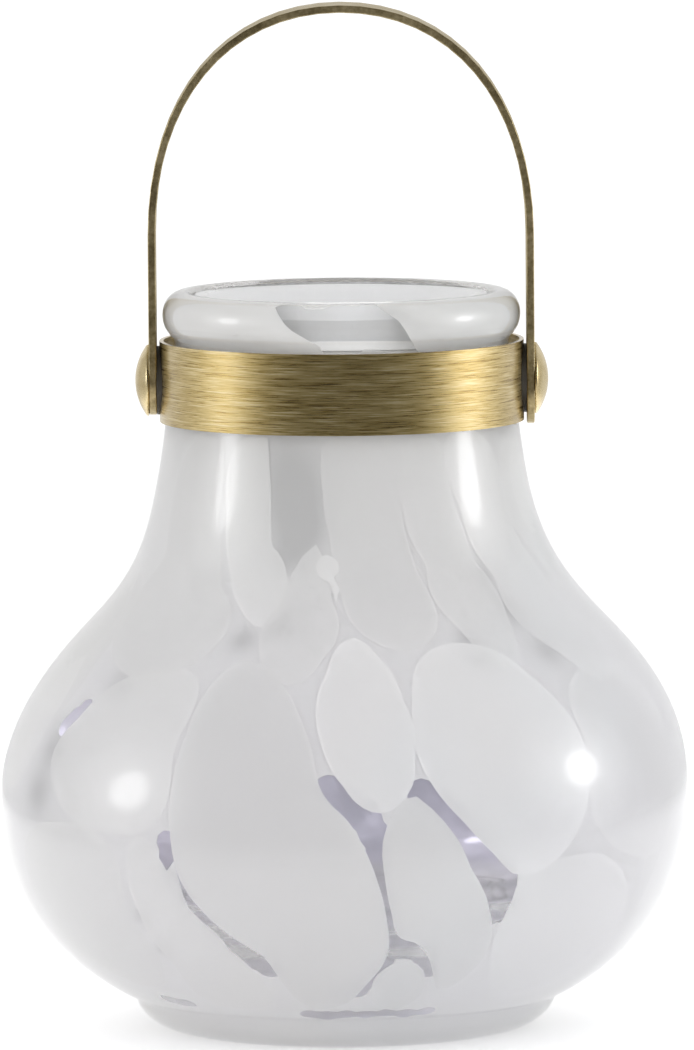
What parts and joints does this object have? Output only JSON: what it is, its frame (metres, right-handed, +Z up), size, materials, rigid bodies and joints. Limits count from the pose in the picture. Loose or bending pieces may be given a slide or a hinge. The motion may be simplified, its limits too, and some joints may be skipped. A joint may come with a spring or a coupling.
{
  "type": "solar glass jar lantern",
  "caption": "Pear-shaped white-fritted glass jar lantern with a brass neck collar, a swinging strap handle and a lift-out solar lamp module in its mouth.",
  "frame": {"origin": "on the ground under the middle of the foot", "axes": "+Z up along the jar's axis, +X towards the right-hand handle pivot, +Y towards the collar's lap at the back"},
  "size_m": [0.165, 0.165, 0.2446],
  "materials": {
    "art_glass": "glossy blown glass with overlapping opal white frit and a faint pearl lustre",
    "brushed_brass": "brass brushed along the band, lacquered",
    "strap_brass": "aged brass strap, darker on its edges",
    "rivet_brass": "satin brass dome",
    "black_nylon": "matte black nylon",
    "steel": "plain stainless steel",
    "module_plastic": "fine-textured pale grey moulding",
    "silicone": "translucent-looking pale silicone",
    "clear_plastic": "clear polycarbonate, polished",
    "cell": "dark blue photovoltaic panel with silver lines",
    "lead_sheath": "red insulation",
    "board_laminate": "green solder mask",
    "black_rubber": "black nitrile",
    "battery_sleeve": "plain shrink sleeve",
    "led_epoxy": "clear epoxy lamp",
    "frosted_plastic": "frosted diffuser",
    "switch_plastic": "black moulding"
  },
  "bodies": {
    "root": {"glass_jar": "art_glass", "collar_band": "brushed_brass", "collar_lap_rivets": "brushed_brass", "collar_liner": "silicone", "pivot_rivet_left": "rivet_brass", "pivot_rivet_right": "rivet_brass", "pivot_washer_left": "black_nylon", "pivot_washer_right": "black_nylon", "backing_washer_left": "steel", "backing_washer_right": "steel"},
    "handle": {"handle_strap": "strap_brass"},
    "module": {"module_housing": "module_plastic", "mouth_gasket": "silicone", "solar_window": "clear_plastic", "solar_cell": "cell", "solar_leads": "lead_sheath", "circuit_board": "board_laminate", "module_base": "module_plastic", "base_seal": "black_rubber", "base_screws": "steel", "battery": "battery_sleeve", "battery_contact_plus": "steel", "battery_spring": "steel", "led_lamp": "led_epoxy", "led_lens": "frosted_plastic", "switch_body": "switch_plastic"},
    "switch": {"switch_slider": "switch_plastic"}
  },
  "joints": [
    {"name": "handle_swing", "type": "hinge", "parent": "root", "child": "handle", "pos_m": [0, 0, 0.1551], "axis": [1, 0, 0], "range_deg": [-126, 126]},
    {"name": "module_lift", "type": "slide", "parent": "root", "child": "module", "axis": [0, 0, 1], "range_m": [0, 0.04]},
    {"name": "switch_slide", "type": "slide", "parent": "module", "child": "switch", "axis": [1, 0, 0], "range_m": [0, 0.0025]}
  ]
}
